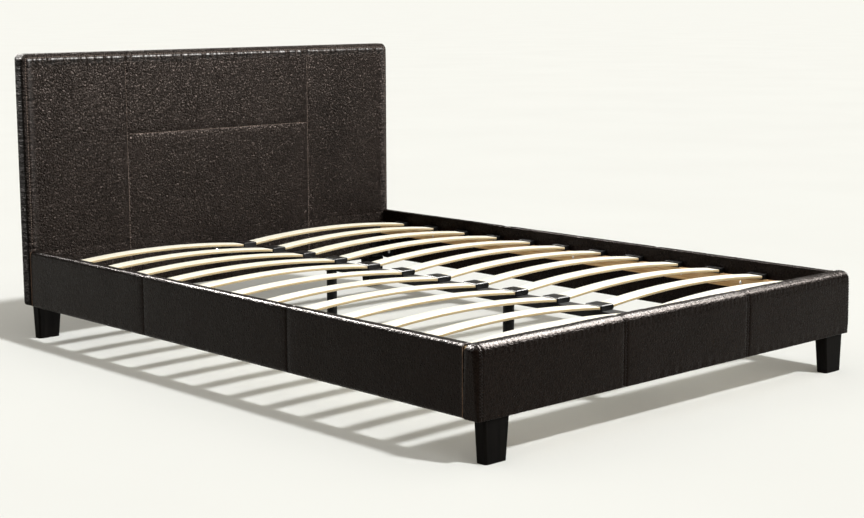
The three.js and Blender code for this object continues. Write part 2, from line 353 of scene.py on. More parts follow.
def timber(name, dark, pale, along, rough, relief=0.0005, shine=0.1):
    """Grain lines stretched along one axis; `along` scales x, y and z."""
    finish = Finish(name, Specular_IOR_Level=shine)
    grain = finish.noise(1.0, 5.0, finish.scaled(*along), 0.6)
    shade = finish.ramp(grain, (0.32, dark), (0.68, pale))
    return finish.paint(
        Base_Color=shade, Roughness=rough + (grain - 0.5) * 0.3, Normal=finish.bump(grain, relief)
    )


def chipboard():
    finish = Finish("chipboard", Specular_IOR_Level=0.1)
    flakes = finish.cells(260.0)
    dust = finish.noise(500.0, 3.0)
    shade = finish.ramp(
        flakes * 0.7 + dust * 0.5,
        (0.2, (0.20, 0.12, 0.055)),
        (0.5, (0.42, 0.28, 0.14)),
        (0.8, (0.58, 0.43, 0.25)),
    )
    rough = 0.75 + dust * 0.2
    return finish.paint(Base_Color=shade, Roughness=rough, Normal=finish.bump(flakes, 0.0008))


birch_finish = birch()
ledge_finish = timber(
    "ledge_plywood",
    dark=(0.34, 0.17, 0.06),
    pale=(0.74, 0.50, 0.24),
    along=(60.0, 9.0, 420.0),
    rough=0.6,
)
leg_finish = timber(
    "dark_wood",
    dark=(0.0016, 0.0013, 0.0011),
    pale=(0.0050, 0.0040, 0.0034),
    along=(160.0, 160.0, 7.0),
    rough=0.48,
    relief=0.0003,
    shine=0.03,
)
board_finish = chipboard()


# %% Plastic and steel finishes
def moulded(name, color, rough, scale, relief, **constants):
    """Moulded plastic or sprayed paint: an even colour with a fine, slightly shiny texture."""
    finish = Finish(name, **constants)
    texture = finish.noise(scale, 3.0)
    wear = finish.noise(25.0, 4.0)
    pale = tuple(min(1.0, c * 1.8 + 0.002) for c in color)
    shade = finish.ramp(wear, (0.35, color), (0.75, pale))
    return finish.paint(
        Base_Color=shade, Roughness=rough + (wear - 0.5) * 0.25, Normal=finish.bump(texture, relief)
    )


plastic_finish = moulded(
    "black_plastic", (0.0025, 0.0025, 0.0026), 0.30, 1400.0, 0.00012, Specular_IOR_Level=0.14
)
paint_finish = moulded(
    "black_paint", (0.0034, 0.0034, 0.0035), 0.42, 600.0, 0.0003, Specular_IOR_Level=0.10
)
zinc_finish = moulded("zinc", (0.42, 0.42, 0.43), 0.32, 500.0, 0.0001, Metallic=1.0)
print("timber, plastic and steel made")

# %% [markdown]
# ## From arrays to pieces
# Every new surface is an array of points and an array of four-sided faces. A ring is a closed loop
# of points, and a tube is rings joined one after another, with a flat cap on its first and last
# ring. Rings turn anticlockwise when seen from where the tube is going, so faces look outwards.


# %% Pieces and tubes
def mesh_object(name, points, faces):
    """An object at the origin whose mesh holds the points and the faces."""
    mesh = bpy.data.meshes.new(name)
    mesh.from_pydata(points, [], faces)
    made = bpy.data.objects.new(name, mesh)
    bpy.context.scene.collection.objects.link(made)
    return made


def piece(name, points, faces, finish, stands_for=(), caps=(), sharp=math.radians(40)):
    """A shown piece: points is (n, 3), faces is (m, 4), caps are loops of point numbers."""
    made = mesh_object(name, points.reshape(-1, 3), [*faces.tolist(), *caps])
    made.data.materials.append(finish)
    made.data.shade_smooth()
    made.data.set_sharp_from_angle(angle=sharp)
    made.data.validate()
    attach(made, "root")
    if stands_for:
        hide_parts(*stands_for)
    return made


def tube_faces(rings, sides, copies=1):
    """Faces and caps of tubes of `rings` rings of `sides` points each, numbered copy by copy.
    Point (i, j) of a ring is joined to (i, j + 1), (i + 1, j + 1) and (i + 1, j)."""
    number = np.arange(copies * rings * sides).reshape(copies, rings, sides)
    onward = np.roll(number, -1, axis=2)
    corners = (number[:, :-1], onward[:, :-1], onward[:, 1:], number[:, 1:])
    faces = np.stack(corners, axis=-1).reshape(-1, 4)
    caps = [*number[:, 0, ::-1].tolist(), *number[:, -1].tolist()]
    return faces, caps


def rounded_outline(half_wide, half_high, radius, steps=4):
    """A rounded rectangle about 0, anticlockwise: corner centres plus a quarter circle each."""
    turn = np.linspace(0.0, math.pi / 2, steps + 1)
    turns = turn[None, :] + np.arange(4)[:, None] * math.pi / 2
    quarters = np.array([(1, 1), (-1, 1), (-1, -1), (1, -1)])
    centres = quarters * (half_wide - radius, half_high - radius)
    arc = np.stack([np.cos(turns), np.sin(turns)], axis=-1) * radius
    return (centres[:, None] + arc).reshape(-1, 2)


def corners(node):
    """The lowest and the highest corner of a node of the frame, as arrays."""
    low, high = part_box(node)
    return np.array(low), np.array(high)


print("piece and tube helpers ready")

# %% [markdown]
# ## The grid of a padded board
# A cover is the skin of a block. Its points are those of a lattice that lie on the outside, with
# lines close together where a seam or an edge needs them. Each edge is rounded by an ellipse: a
# point is split into the nearest point of a smaller core and the step from there, and the step is
# brought to the length of the radius. Creases then push a point in along that same step.


# %% Lattice lines and sheets
def lines(low, high, stops, fine, coarse, reach):
    """Grid lines: the spacing is `fine` at the ends and stops and grows to `coarse` over `reach`.
    The wanted spacings are summed into a running count, which is read back at whole numbers."""
    at = np.linspace(low, high, 6001)
    near = np.abs(at[:, None] - np.array([low, high, *stops])).min(axis=1)
    spacing = fine + (coarse - fine) * np.clip(near / reach, 0.0, 1.0)
    count = np.concatenate([[0.0], np.cumsum(np.diff(at) / spacing[1:])])
    made = np.interp(np.linspace(0.0, count[-1], int(count[-1]) + 2), count, at)
    nearest = [np.abs(made - stop).argmin() for stop in stops]
    made[nearest] = stops
    return made


def sheet_faces(sheet, turned, hole=None):
    """Faces of a grid of point numbers, without the cells of a hole given as index ranges."""
    a, b, c, d = sheet[:-1, :-1], sheet[1:, :-1], sheet[1:, 1:], sheet[:-1, 1:]
    faces = np.stack([a, d, c, b] if turned else [a, b, c, d], axis=-1)
    kept = np.ones(faces.shape[:2], bool)
    if hole:
        (i0, i1), (j0, j1) = hole
        kept[i0:i1, j0:j1] = False
    return faces[kept]


def rim(sheet, hole):
    """The point numbers round a hole, anticlockwise in the sheet's own two directions."""
    (i0, i1), (j0, j1) = hole
    sides = (sheet[i0:i1, j0], sheet[i1, j0:j1], sheet[i1:i0:-1, j1], sheet[i0, j1:j0:-1])
    return np.concatenate(sides)


# %% A block with a pocket for its board
def block(axes, pocket, open_ends, floor=None):
    """The skin of a lattice with a pocket. `pocket` is (low, high); `open_ends` names the sheets
    where it opens. With one opening the pocket ends at `floor`; with two it runs right through."""
    shape = tuple(len(axis) for axis in axes)
    outside = np.ones(shape, bool)
    outside[1:-1, 1:-1, 1:-1] = False
    number = np.full(shape, -1)
    number[outside] = np.arange(outside.sum())
    points = np.stack(np.meshgrid(*axes, indexing="ij"), axis=-1)[outside]
    sheets = {
        "-x": (number[0], True, (1, 2)), "+x": (number[-1], False, (1, 2)),
        "-y": (number[:, 0], False, (0, 2)), "+y": (number[:, -1], True, (0, 2)),
        "-z": (number[:, :, 0], True, (0, 1)), "+z": (number[:, :, -1], False, (0, 1)),
    }
    holes = {
        end: [tuple(int(np.abs(axes[k] - bound[k]).argmin()) for bound in pocket)
              for k in sheets[end][2]]
        for end in open_ends
    }
    faces = [
        sheet_faces(sheet, turned, holes.get(end)) for end, (sheet, turned, _) in sheets.items()
    ]
    rims = [rim(sheets[end][0], holes[end]) for end in open_ends]
    caps = []
    if len(rims) == 1:
        deep = points[rims[0]].copy()
        deep[:, "xyz".index(open_ends[0][1])] = floor
        rims.append(np.arange(len(deep)) + len(points))
        points = np.concatenate([points, deep])
        caps = [rims[1]]
    first, last = rims
    walls = np.stack([first, np.roll(first, -1), np.roll(last, -1), last], axis=-1)
    turned = sheets[open_ends[0]][1]
    walls = walls if turned else walls[:, ::-1]
    caps = [cap.tolist() if turned else cap[::-1].tolist() for cap in caps]
    faces = np.concatenate([*faces, walls])
    used, packed = np.unique(faces, return_inverse=True)
    place = np.full(len(points), -1)
    place[used] = np.arange(len(used))
    deep = used >= outside.sum()
    return points[used], packed.reshape(-1, 4), [place[cap].tolist() for cap in caps], deep


print("lattice and block helpers ready")

# %% [markdown]
# ## What stitching does to a padded surface
# A seam pulls the leather down to the board, so it makes a narrow groove with a soft shoulder.
# The thread also gathers the leather, so small puckers fade away from each seam. Puckers come at
# uneven distances: sine waves of several lengths near the wanted one, with seeded phases, are
# added. Between seams the foam is never quite level, which is the same sum with long waves.


# %% Waves, seams and puckers
def puckers(along, pitch, seed):
    """From 0 to 1: the mean of seven sine waves near one pitch, with seeded phases."""
    seeded = np.random.default_rng(seed)
    waves = pitch * seeded.uniform(0.7, 1.7, 7)
    phases = seeded.uniform(0.0, 2 * math.pi, 7)
    return 0.5 + 0.5 * np.sin(2 * math.pi * along[:, None] / waves + phases).mean(axis=1) * 1.6


def unlevel(points, size, seed):
    """From 0 to 1: the mean of twelve sine waves of about `size` in seeded directions."""
    seeded = np.random.default_rng(seed)
    ways = seeded.normal(size=(12, 3))
    ways /= np.linalg.norm(ways, axis=1, keepdims=True)
    waves = ways * (2 * math.pi / (size * seeded.uniform(0.6, 1.8, (12, 1))))
    phases = seeded.uniform(0.0, 2 * math.pi, 12)
    return 0.5 + 0.5 * np.sin(points @ waves.T + phases).mean(axis=1) * 1.8


def between(value, low, high, ease=0.006):
    """1 between two bounds and 0 outside, eased by a smooth step over a few millimetres."""
    after, before = (value - low) / ease + 0.5, (high - value) / ease + 0.5
    rise = np.clip(after, 0.0, 1.0) * np.clip(before, 0.0, 1.0)
    return rise * rise * (3 - 2 * rise)


def groove(away, width):
    """A bell curve: 1 on the seam, fading over `width`."""
    return np.exp(-((away / width) ** 2))


def seam(away, way, seed, stitch, shoulder, gather, rows=(0.0,)):
    """A sewn line at distance `away`: a groove for each row of stitches, a soft shoulder, and
    gathers that vary along `way`. Each is a depth and a width, and the gathers have a pitch."""
    pressed = sum(stitch[0] * groove(away - row, stitch[1]) for row in rows)
    pressed += shoulder[0] * groove(away, shoulder[1])
    return pressed + gather[0] * groove(away, gather[1]) * puckers(way, gather[2], seed)


CORNER_REACH = 0.09


class Cover:
    """A padded cover: its box, its edge radii and how far its surface is pushed in at a point."""

    def __init__(self, node, near, far, axis, corner=0.0):
        self.low, self.high = corners(node)
        self.near, self.far, self.axis, self.corner = np.array(near), np.array(far), axis, corner

    def pressed(self, points, out):
        """How far each point is pushed in, in metres. Each kind of cover has its own."""
        return np.zeros(len(points))

    def soften(self, points):
        """Rounds the edges and presses the seams in. The radii run from near to far along one
        axis and grow towards the two top corners. The core is the box shrunk by the radii; out is
        the step from the core over the radii, brought to length 1; the new point is the core plus
        out times the radii, less the pressing."""
        span = self.high[self.axis] - self.low[self.axis]
        mix = np.clip((points[:, self.axis] - self.low[self.axis]) / span, 0.0, 1.0)[:, None]
        from_side = np.minimum(points[:, 0] - self.low[0], self.high[0] - points[:, 0])
        reach = np.hypot(from_side, self.high[2] - points[:, 2])
        nearness = np.clip(1 - reach / CORNER_REACH, 0.0, 1.0)[:, None]
        radii = self.near * (1 - mix) + self.far * mix
        radii = radii * (1 + self.corner * nearness * (1.0, 0.0, 1.0))
        core = np.clip(points, self.low + radii, self.high - radii)
        step = (points - core) / radii
        length = np.linalg.norm(step, axis=1, keepdims=True)
        out = np.divide(step, length, out=np.zeros_like(step), where=length > 1e-9)
        rounded = np.where(length > 1e-9, core + out * radii, points)
        return rounded - out * self.pressed(rounded, out)[:, None], out


print("seam and pucker helpers ready")

# %% [markdown]
# ## How leather fills out between seams
# On the real bed, foam pushes the leather outwards everywhere but along the seams and the hems.
# A cloth simulation gives that shape: a flat sheet, cut a little too large, is held along the same
# lines and left to fall face down, so its own weight stands in for the foam. Only the first
# millimetres of the fall are used, because a stretched cover goes flat a finger away from a seam.

# %% Padding by cloth simulation
SHEET_SPACING, SHEET_MARGIN = 0.012, 0.020
CLOTH_FRAMES, FULL_SWELL = 20, 0.006
CLOTH = {
    "quality": 5,
    "mass": 0.4,
    "tension_stiffness": 30.0,
    "compression_stiffness": 30.0,
    "shear_stiffness": 10.0,
    "bending_stiffness": 1.0,
    "shrink_min": -0.012,
    "vertex_group_mass": "held",
}


class Padding:
    """A sheet held along straight lines, each (u from, v from, u to, v to), after its fall."""

    def __init__(self, name, long, tall, seams):
        self.u = np.arange(-SHEET_MARGIN, long + SHEET_MARGIN, SHEET_SPACING)
        self.v = np.arange(-SHEET_MARGIN, tall + SHEET_MARGIN, SHEET_SPACING)
        u, v = np.meshgrid(self.u, self.v, indexing="ij")
        (u0, u1), (v0, v1) = self.u[[0, -1]], self.v[[0, -1]]
        hems = [(u0, v0, u1, v0), (u0, v1, u1, v1), (u0, v0, u0, v1), (u1, v0, u1, v1)]
        apart = [
            np.hypot(u - np.clip(u, a, c), v - np.clip(v, b, d)) for a, b, c, d in [*hems, *seams]
        ]
        held = np.min(apart, axis=0) < 0.51 * SHEET_SPACING
        self.swell = self.fall(name, np.stack([u, v, 0 * u], axis=-1), held)
        print(name, u.size, "points fell up to", round(self.swell.max() * 1000, 1), "mm")

    def fall(self, name, flat, held):
        """Lets the flat grid fall for a few frames and gives back how far each point fell."""
        index = np.arange(held.size).reshape(held.shape)
        quads = sheet_faces(index, False).reshape(-1, 4)
        sheet = mesh_object(name, flat.reshape(-1, 3).tolist(), quads.tolist())
        sheet.vertex_groups.new(name="held").add(index[held].tolist(), 1.0, "REPLACE")
        cloth = sheet.modifiers.new("cloth", "CLOTH")
        for key, value in CLOTH.items():
            setattr(cloth.settings, key, value)
        cloth.collision_settings.use_collision = False
        cloth.point_cache.frame_end = CLOTH_FRAMES
        for frame_number in range(1, CLOTH_FRAMES + 1):
            bpy.context.scene.frame_set(frame_number)
        fallen = sheet.evaluated_get(bpy.context.evaluated_depsgraph_get()).data
        places = np.empty(flat.size, np.float32)
        fallen.vertices.foreach_get("co", places)
        bpy.data.meshes.remove(sheet.data)
        bpy.context.scene.frame_set(1)
        return -places.reshape(flat.shape)[..., 2].astype(float)

    def hollow(self, u, v):
        """1 on a held line, 0 where the sheet is full. The swell is read between four grid points:
        weights (1 - f, f) each way, f being how far the point is past its lower neighbour."""
        i = np.clip((u - self.u[0]) / SHEET_SPACING, 0, len(self.u) - 1.001)
        j = np.clip((v - self.v[0]) / SHEET_SPACING, 0, len(self.v) - 1.001)
        i0, j0 = i.astype(int), j.astype(int)
        fi, fj = i - i0, j - j0
        low = self.swell[i0, j0] * (1 - fi) + self.swell[i0 + 1, j0] * fi
        high = self.swell[i0, j0 + 1] * (1 - fi) + self.swell[i0 + 1, j0 + 1] * fi
        full = np.clip((low * (1 - fj) + high * fj) / FULL_SWELL, 0.0, 1.0)
        return (1 - full) ** 2


print("padding simulation ready")

# %% [markdown]
# ## The headboard
# A tall board with foam and leather over its face and edges. Two upright seams and one level seam
# make its panels, a faint seam crosses each side panel low down, and a roll of gathered leather
# runs just inside the outline, where the cover is pulled round the edge. The back stays flat.

# %% Headboard cover
HEAD_UPRIGHTS = (-0.390, 0.390)
HEAD_LEVEL, HEAD_LOW_LEVEL = 0.652, 0.287
HEAD_LEVEL_WEIGHT, HEAD_LOW_WEIGHT = 0.6, 0.45
HEAD_SEAM = {"stitch": (0.0022, 0.0026), "shoulder": (0.0010, 0.014),
             "gather": (0.0016, 0.016, 0.021)}
PANEL_BACK, HEAD_PUFF, HEAD_UNLEVEL = 0.0032, 0.0026, 0.0016
ROLL_INSET, ROLL_RISE, ROLL_WIDE, ROLL_PITCH = 0.021, 0.0044, 0.0065, 0.017
VALLEY_INSET, VALLEY_DEEP, VALLEY_WIDE = 0.010, 0.0022, 0.0040


class HeadCover(Cover):
    def __init__(self, *shape):
        super().__init__(*shape)
        long, _, tall = self.high - self.low
        left, right = (at - self.low[0] for at in HEAD_UPRIGHTS)
        level = HEAD_LEVEL - self.low[2]
        seams = [(left, 0.0, left, tall), (right, 0.0, right, tall), (left, level, right, level)]
        self.padding = Padding("headboard_sheet", long, tall, seams)

    def pressed(self, points, out):
        """The face lies back by PANEL_BACK, the roll stands out from it and a valley runs round
        the roll. Seams, the padding's hollows and the uneven foam are added."""
        x, z = points[:, 0], points[:, 2]
        front = np.clip(-out[:, 1], 0.0, 1.0)
        from_side, from_top = self.high[0] - np.abs(x), self.high[2] - z
        inset = np.minimum(from_side, from_top)
        along = np.where(from_top < from_side, x, z)
        middle = between(np.abs(x), -1.0, HEAD_UPRIGHTS[1])
        side = between(np.abs(x), HEAD_UPRIGHTS[1], self.high[0])
        away = [
            (np.abs(np.abs(x) - HEAD_UPRIGHTS[1]), z, 1.0),
            (np.abs(z - HEAD_LEVEL), x, HEAD_LEVEL_WEIGHT * middle),
            (np.abs(z - HEAD_LOW_LEVEL), x, HEAD_LOW_WEIGHT * side),
        ]
        pressed = HEAD_UNLEVEL * unlevel(points, 0.16, 3)
        for seed, (distance, way, weight) in enumerate(away):
            pressed += weight * seam(distance, way, 20 + seed, **HEAD_SEAM)
        pressed += HEAD_PUFF * self.padding.hollow(x - self.low[0], z - self.low[2])
        gathered = puckers(along, ROLL_PITCH, 31)
        roll = groove(inset - ROLL_INSET, ROLL_WIDE) * (0.25 + 0.75 * gathered)
        valley = groove(inset - VALLEY_INSET, VALLEY_WIDE) * (0.6 + 0.4 * gathered)
        pressed += PANEL_BACK - ROLL_RISE * roll + VALLEY_DEEP * valley
        return np.maximum(pressed, 0.0) * front**2


def make_cover(name, node, cover, axes, pocket, open_ends, floor, finish):
    """Puts the skin in place: the pocket's own floor stays where it is, the rest is softened."""
    points, faces, caps, deep = block(axes, pocket, open_ends, floor)
    soft, _ = cover.soften(points)
    points = np.where(deep[:, None], points, soft)
    made = piece(name, points, faces, finish, (node,), caps, math.radians(60))
    print(name, len(points), "points,", len(faces), "faces")
    return made


def pocket_of(node, gap=0.0003):
    """The room a cover leaves for its board: the board's box with a hair of air all round."""
    low, high = corners(node)
    return low - gap, high + gap


def grid(cover, pocket, stops, fine, coarse, reach):
    """The three sets of grid lines of a cover; each stop is a place, or a side of the pocket."""
    return tuple(
        lines(
            cover.low[k],
            cover.high[k],
            [pocket[at][k] if isinstance(at, int) else at for at in stops[k]],
            fine[k],
            coarse[k],
            reach[k],
        )
        for k in range(3)
    )


head_cover = HeadCover("headboard_cover", (0.017, 0.016, 0.017), (0.012, 0.003, 0.012), 1, 0.6)
head_pocket = pocket_of("headboard_board")
make_cover(
    "leather_headboard",
    "headboard_cover",
    head_cover,
    grid(
        head_cover,
        head_pocket,
        stops=((0, *HEAD_UPRIGHTS, 1), (), (0, HEAD_LOW_LEVEL, HEAD_LEVEL, 1)),
        fine=(0.0020, 0.0016, 0.0020),
        coarse=(0.0062, 0.0080, 0.0062),
        reach=(0.05, 0.02, 0.05),
    ),
    head_pocket,
    ["+y"],
    head_pocket[0][1],
    head_leather_painted_lighter,
)

# %% [markdown]
# ## The footboard
# A lower board in the same padding. The cover is pulled down over the board like a cap and stapled
# underneath, so this block opens at its bottom. Two seams with a double row of stitches run up the
# face and over the top, and another double row follows each end. Leather bunches a little at the
# bottom hem and along the rounded top.

# %% Footboard cover
FOOT_SEAMS = (-0.245, 0.280)
ROW_APART, END_ROWS = 0.0104, (0.004, 0.013)
FOOT_SEAM = {"stitch": (0.0019, 0.0022), "shoulder": (0.0004, 0.011),
             "gather": (0.0011, 0.020, 0.019), "rows": (-0.5 * ROW_APART, 0.5 * ROW_APART)}
FOOT_PUFF, FOOT_UNLEVEL = 0.0014, 0.0012
FOOT_SWELL = 0.007


class FootCover(Cover):
    def __init__(self, *shape):
        super().__init__(*shape)
        long, thick, tall = self.high - self.low
        seams = [(at - self.low[0], 0.0, at - self.low[0], tall + thick) for at in FOOT_SEAMS]
        self.padding = Padding("footboard_sheet", long, tall + thick, seams)

    def pressed(self, points, out):
        """Seams cross the face and the top, leather bunches along the top edge and the hem, and
        the two ends swell outwards, least at the hem: a negative pressing."""
        x, y, z = points.T
        outer = np.clip(np.maximum(-out[:, 1], out[:, 2]), 0.0, 1.0)
        inset, from_top, from_hem = self.high[0] - np.abs(x), self.high[2] - z, z - self.low[2]
        pressed = FOOT_UNLEVEL * unlevel(points, 0.13, 5)
        for seed, at in enumerate(FOOT_SEAMS):
            pressed += seam(x - at, z - (y - self.low[1]), 40 + seed, **FOOT_SEAM)
        over = from_hem + y - self.low[1]
        pressed += FOOT_PUFF * self.padding.hollow(x - self.low[0], over)
        for away in END_ROWS:
            pressed += 0.0010 * groove(inset - away, 0.0018)
        gathered = puckers(x, 0.015, 47)
        pressed += 0.0020 * groove(from_top - 0.024, 0.007) * (0.3 + 0.7 * gathered)
        pressed += 0.0029 * groove(from_top - 0.010, 0.009) * gathered
        pressed += 0.0014 * groove(from_hem - 0.012, 0.012) * puckers(x, 0.034, 49)
        climb = 0.35 + 0.65 * from_hem / (self.high[2] - self.low[2])
        swell = FOOT_SWELL * out[:, 0] ** 2 * climb * np.clip(from_hem / 0.03, 0.0, 1.0)
        return np.maximum(pressed, 0.0) * outer**2 - swell


foot_cover = FootCover("footboard_cover", (0.006, 0.006, 0.003), (0.012, 0.022, 0.022), 2, 0.3)
foot_pocket = pocket_of("footboard_board")
make_cover(
    "leather_footboard",
    "footboard_cover",
    foot_cover,
    grid(
        foot_cover,
        foot_pocket,
        stops=((0, *FOOT_SEAMS, 1), (0, 1), ()),
        fine=(0.0014, 0.0018, 0.0020),
        coarse=(0.0044, 0.0060, 0.0055),
        reach=(0.05, 0.02, 0.04),
    ),
    foot_pocket,
    ["-z"],
    foot_pocket[1][2],
    base_leather,
)

# %% [markdown]
# ## The side rails
# Each rail is a board in a padded sleeve, open at both ends where the iron brackets meet it. The
# outer face is padded most and its top edge is a soft round, which catches the light as one long
# line. A single row of stitches crosses each rail twice, and the leather dimples beside it.

# %% Side rail covers
RAIL_SEAMS = (-0.328, 0.360)
RAIL_SEAM = {"stitch": (0.0016, 0.0022), "shoulder": (0.0003, 0.012),
             "gather": (0.0010, 0.020, 0.018)}
RAIL_OUTER_RADII, RAIL_INNER_RADII = (0.014, 0.002, 0.012), (0.0028, 0.002, 0.0028)
RAIL_PUFF, RAIL_UNLEVEL = 0.0013, 0.0011


class RailCover(Cover):
    def __init__(self, node, hand):
        inward_first = (RAIL_INNER_RADII, RAIL_OUTER_RADII)
        super().__init__(node, *(inward_first if hand > 0 else inward_first[::-1]), 0)
        self.hand = hand
        thick, long, tall = self.high - self.low
        seams = [(at - self.low[1], 0.0, at - self.low[1], tall + thick) for at in RAIL_SEAMS]
        self.padding = Padding(node + "_sheet", long, tall + thick, seams)

    def pressed(self, points, out):
        """Seams, hollows and two gathered lines; the one under the top edge grows to the head."""
        x, y, z = points.T
        outer = np.clip(np.maximum(out[:, 0] * self.hand, out[:, 2]), 0.0, 1.0)
        from_face = self.high[0] - x if self.hand > 0 else x - self.low[0]
        from_top, from_hem = self.high[2] - z, z - self.low[2]
        pressed = RAIL_UNLEVEL * unlevel(points, 0.15, 7 + self.hand)
        for seed, at in enumerate(RAIL_SEAMS):
            pressed += seam(y - at, z, 60 + seed, **RAIL_SEAM)
        pressed += RAIL_PUFF * self.padding.hollow(y - self.low[1], from_hem + from_face)
        pressed += 0.0010 * groove(from_hem - 0.011, 0.010) * puckers(y, 0.040, 66)
        toward_head = 0.25 + 0.75 * np.clip((y + 0.1) / 1.1, 0.0, 1.0)
        pressed += 0.0012 * toward_head * groove(from_top - 0.013, 0.007) * puckers(y, 0.019, 67)
        end = np.minimum(y - self.low[1], self.high[1] - y)
        return np.maximum(pressed, 0.0) * outer**2 * between(end, 0.004, 9.0, 0.008)


HANDS = (("left", -1), ("right", 1))
rail_covers = {}
for side, hand in HANDS:
    node = f"side_rail_cover_{side}"
    cover = rail_covers[side] = RailCover(node, hand)
    pocket = pocket_of(f"side_rail_board_{side}")
    make_cover(
        f"leather_side_rail_{side}",
        node,
        cover,
        grid(
            cover,
            pocket,
            stops=((0, 1), RAIL_SEAMS, (0, 1)),
            fine=(0.0014, 0.0016, 0.0016),
            coarse=(0.0050, 0.0075, 0.0065),
            reach=(0.012, 0.05, 0.03),
        ),
        pocket,
        ["-y", "+y"],
        None,
        base_leather,
    )

# %% [markdown]
# ## Stitches
# Thread shows as short beads that dip into the leather at both ends. A row is a path on the plain
# block, cut at an even pitch; both ends of each bead then go through the same rounding and pressing
# as the leather, so a bead lies along the groove. Beads are tubes of four rings of six points.


# %% Rows of stitches
BEAD_SHARES = np.array([0.0, 0.3, 0.7, 1.0])
BEAD_LIFTS = np.array([-0.35, 0.45, 0.45, -0.35])
BEAD_RADII = np.array([0.30, 0.50, 0.50, 0.30])


def stations(path, pitch):
    """Cuts a path at an even pitch: running length along it is read back at multiples of pitch."""
    path = np.array(path)
    run = np.concatenate([[0.0], np.cumsum(np.linalg.norm(np.diff(path, axis=0), axis=1))])
    at = np.arange(pitch, run[-1] - pitch / 2, pitch)
    return np.stack([np.interp(at, run, path[:, k]) for k in range(3)], axis=1)


def stitch_row(cover, path, pitch, length, thick):
    """Beads of thread along a path. A bead's ring centre goes from one end to the other, lifted by
    a bow; its radius follows an ellipse, so the ends are thin."""
    middle = stations(path, pitch)
    step = np.gradient(middle, axis=0)
    step /= np.linalg.norm(step, axis=1, keepdims=True)
    start, out = cover.soften(middle - step * length / 2)
    end, _ = cover.soften(middle + step * length / 2)
    along = end - start
    along /= np.linalg.norm(along, axis=1, keepdims=True)
    across = np.cross(along, out)
    across /= np.linalg.norm(across, axis=1, keepdims=True)
    up = np.cross(across, along)
    share = BEAD_SHARES[None, :, None]
    lift = BEAD_LIFTS[None, :, None] * thick
    radius = BEAD_RADII[None, :, None, None] * thick
    centre = start[:, None] * (1 - share) + end[:, None] * share + up[:, None] * lift
    turn = np.arange(6) * math.pi / 3
    ring = across[:, None, :] * np.cos(turn)[:, None] - up[:, None, :] * np.sin(turn)[:, None]
    return centre[:, :, None, :] + ring[:, None, :, :] * radius


def sew(name, rows, finish):
    """One object for all the beads of one cover."""
    beads = np.concatenate(rows)
    faces, caps = tube_faces(4, 6, len(beads))
    made = piece(name, beads, faces, finish, (), caps, math.pi)
    print(name, len(beads), "beads")
    return made


# %% Sew the headboard, footboard and rails
HEAD_STITCH = {"pitch": 0.0085, "length": 0.0054, "thick": 0.0019}
FOOT_STITCH = {"pitch": 0.0080, "length": 0.0046, "thick": 0.0022}
RAIL_STITCH = {"pitch": 0.0080, "length": 0.0048, "thick": 0.0016}
OUTLINE_BOTTOM = 0.31


def head_stitches():
    """Both uprights, the level seam between them, and the outline from its low ends upwards."""
    front, low, high = head_cover.low[1], head_cover.low[2], head_cover.high[2]
    left, right = head_cover.low[0] + VALLEY_INSET, head_cover.high[0] - VALLEY_INSET
    top = high - VALLEY_INSET
    first, second = HEAD_UPRIGHTS
    paths = [[(x, front, low + 0.02), (x, front, high - 0.028)] for x in HEAD_UPRIGHTS]
    paths.append([(first + 0.004, front, HEAD_LEVEL), (second - 0.004, front, HEAD_LEVEL)])
    paths.append([(left, front, OUTLINE_BOTTOM), (left, front, top),
                  (right, front, top), (right, front, OUTLINE_BOTTOM)])
    return [stitch_row(head_cover, path, **HEAD_STITCH) for path in paths]


def foot_stitches():
    """Double rows at both seams and both ends, each up the face and over the top."""
    (_, front, low), (_, back, high) = foot_cover.low, foot_cover.high
    places = [at + row for at in FOOT_SEAMS for row in FOOT_SEAM["rows"]]
    places += [hand * (foot_cover.high[0] - away) for hand in (-1, 1) for away in END_ROWS]
    paths = [[(x, front, low + 0.006), (x, front, high), (x, back - 0.006, high)] for x in places]
    return [stitch_row(foot_cover, path, **FOOT_STITCH) for path in paths]


def rail_stitches(side, hand):
    """One row at each seam, up the outer face and over the top."""
    cover = rail_covers[side]
    inner, outer = (cover.low[0], cover.high[0]) if hand > 0 else (cover.high[0], cover.low[0])
    low, high = cover.low[2] + 0.008, cover.high[2]
    end = inner + hand * 0.004
    paths = [[(outer, y, low), (outer, y, high), (end, y, high)] for y in RAIL_SEAMS]
    return [stitch_row(cover, path, **RAIL_STITCH) for path in paths]


sew("stitches_headboard", head_stitches(), head_thread_painted_highlight)
sew("stitches_footboard", foot_stitches(), base_thread)
for side, hand in HANDS:
    sew(f"stitches_side_rail_{side}", rail_stitches(side, hand), base_thread)

# %% [markdown]
# ## Bent birch slats
# A slat is pressed from thin plies over a curved form, so it is an arc that rises in the middle and
# springs flat under a sleeper. Its section is a flat rounded rectangle, and it is carried along the
# arc. Each point also keeps its height through the plies, from 0 to 1, for the finish to read.

# %% Slats
SLAT_THICK, SLAT_EASE, SLAT_STEPS = 0.008, 0.0018, 48
SLAT_PLAY = 0.0006


def slat_arc(node):
    """The arc under a slat: half its span and its rise give the radius,
    (half^2 + rise^2) / 2 rise."""
    low, high = corners(node)
    half = (high[0] - low[0]) / 2
    rise = high[2] - low[2] - SLAT_THICK
    radius = (half**2 + rise**2) / (2 * rise)
    return low, high, (low + high) / 2, radius, low[2] + rise - radius


def add_attribute(made, name, values):
    layer = made.data.attributes.new(name, "FLOAT", "POINT")
    layer.data.foreach_set("value", np.ascontiguousarray(values, dtype=np.float32).ravel())


